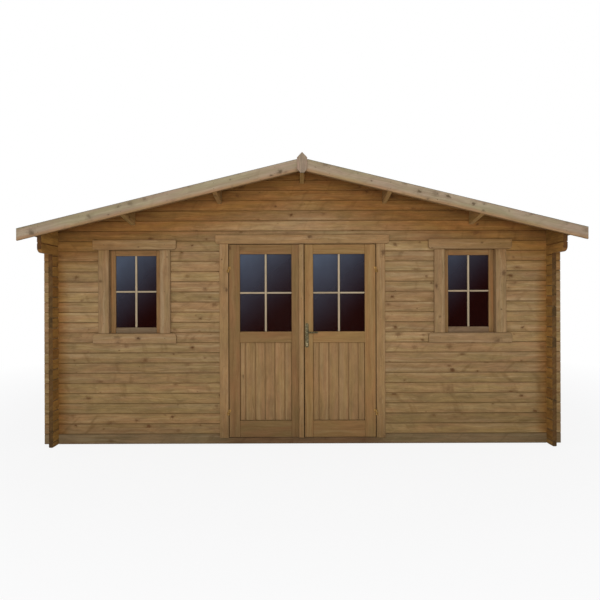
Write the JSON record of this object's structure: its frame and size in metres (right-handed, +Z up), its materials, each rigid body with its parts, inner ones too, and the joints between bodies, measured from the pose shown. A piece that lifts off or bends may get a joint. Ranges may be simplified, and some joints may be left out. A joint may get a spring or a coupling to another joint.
{
  "type": "garden shed",
  "caption": "Log garden shed with crossed corners, low gable roof, glazed double doors and two paned windows.",
  "frame": {"origin": "on the ground under the middle of the roof", "axes": "+X to the right seen from the front, +Y towards the back wall, +Z up"},
  "size_m": [5.25, 4.536, 2.7697],
  "materials": {
    "logs": "brown treated softwood",
    "purlins": "brown treated softwood",
    "roof_boards": "planed softwood",
    "roof_felt": "mineral felt",
    "barge_boards": "greyed softwood",
    "floor_boards": "planed softwood",
    "trim_boards": "brown treated softwood",
    "door_boards": "brown treated softwood",
    "window_glass": "clear sheet glass",
    "bronze_fittings": "dark bronze"
  },
  "bodies": {
    "shed": {"front_sill_log": "logs", "front_left_wall": "logs", "front_right_wall": "logs", "front_gable": "logs", "back_wall": "logs", "back_gable": "logs", "left_wall": "logs", "right_wall": "logs", "left_eave_logs": "logs", "right_eave_logs": "logs", "ridge_purlin": "purlins", "upper_purlins": "purlins", "lower_purlins": "purlins", "left_roof_deck": "roof_boards", "right_roof_deck": "roof_boards", "left_roof_felt": "roof_felt", "right_roof_felt": "roof_felt", "ridge_felt": "roof_felt", "front_barge_boards": "barge_boards", "back_barge_boards": "barge_boards", "finials": "barge_boards", "floor_joists": "floor_boards", "floor": "floor_boards", "door_jambs": "trim_boards", "door_head": "trim_boards", "door_head_trim": "trim_boards", "left_window_frame": "trim_boards", "right_window_frame": "trim_boards", "left_window_trim": "trim_boards", "right_window_trim": "trim_boards", "left_window_glass": "window_glass", "right_window_glass": "window_glass", "door_frame_hinges": "bronze_fittings"},
    "left_door": {"left_door_frame": "door_boards", "left_door_panel": "door_boards", "left_door_glass": "window_glass", "left_door_cover_strip": "door_boards", "left_door_hinges": "bronze_fittings"},
    "right_door": {"right_door_frame": "door_boards", "right_door_panel": "door_boards", "right_door_glass": "window_glass", "right_door_hinges": "bronze_fittings", "right_door_handle": "bronze_fittings"}
  },
  "joints": [
    {"name": "left_door_swing", "type": "hinge", "parent": "shed", "child": "left_door", "pos_m": [-0.7235, -1.9725, 0.315], "axis": [0, 0, -1], "range_deg": [0, 160]},
    {"name": "right_door_swing", "type": "hinge", "parent": "shed", "child": "right_door", "pos_m": [0.7235, -1.9725, 0.315], "axis": [0, 0, 1], "range_deg": [0, 160]}
  ]
}
